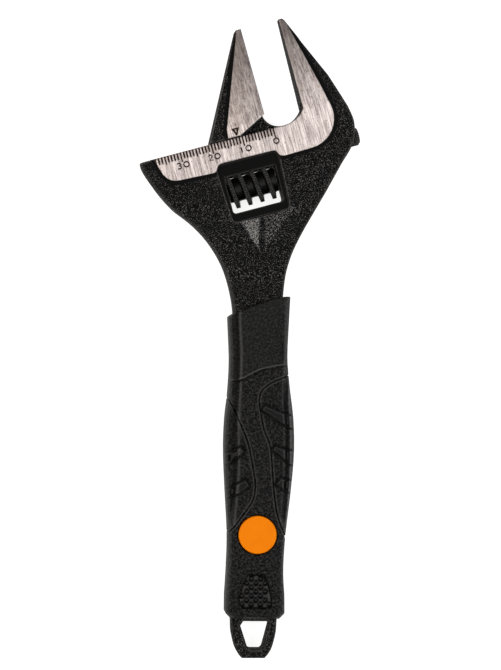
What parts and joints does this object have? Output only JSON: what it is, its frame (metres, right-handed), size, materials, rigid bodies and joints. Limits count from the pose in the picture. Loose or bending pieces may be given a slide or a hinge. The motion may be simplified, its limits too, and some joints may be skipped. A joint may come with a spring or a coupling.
{
  "type": "adjustable wrench",
  "caption": "Wide-opening adjustable wrench with thin tapered jaws, a worm-driven sliding jaw, a millimetre scale and a moulded grip with a hanging eye.",
  "frame": {"origin": "bottom centre of the box around the whole wrench, which lies on its back", "axes": "+Y along the handle from the hanging eye to the jaws, +X to the right of the scale with the fixed jaw on that side, +Z out of the scale face"},
  "size_m": [0.069, 0.2004, 0.0155],
  "materials": {
    "black_steel": "forged steel with a fine-grained black phosphate coat; scale band and fixed jaw ground bright",
    "bright_steel": "ground satin steel, with the border of the jaw, its web and its bar left black",
    "worm_steel": "black steel, knurled on the thread crests",
    "spring_steel": "plain spring wire",
    "grip_plastic": "matt charcoal moulding with a fine pebble texture",
    "grip_rubber": "soft matt charcoal rubber with a leather texture and smooth ribs",
    "orange_plastic": "plain satin orange disc with no mark"
  },
  "bodies": {
    "handle": {"wrench_body": "black_steel", "worm_pin": "worm_steel", "worm_spring": "spring_steel", "grip_core": "grip_plastic", "grip_panel_right": "grip_rubber", "grip_panel_left": "grip_rubber", "front_badge": "orange_plastic", "back_badge": "orange_plastic"},
    "jaw": {"movable_jaw": "bright_steel"},
    "worm": {"adjusting_worm": "worm_steel"}
  },
  "joints": [
    {"name": "jaw_slide", "type": "slide", "parent": "handle", "child": "jaw", "axis": [-0.9627, -0.2706, 0], "range_m": [-0.0121, 0.0258]},
    {"name": "worm_spin", "type": "hinge", "parent": "handle", "child": "worm", "pos_m": [0.00079, 0.04796, 0.0074], "axis": [0.9627, 0.2706, 0], "range_deg": [-1120, 2385]}
  ],
  "couplings": [
    {"joint": "worm_spin", "follows": "jaw_slide", "rad_per_m": 1611.1}
  ]
}
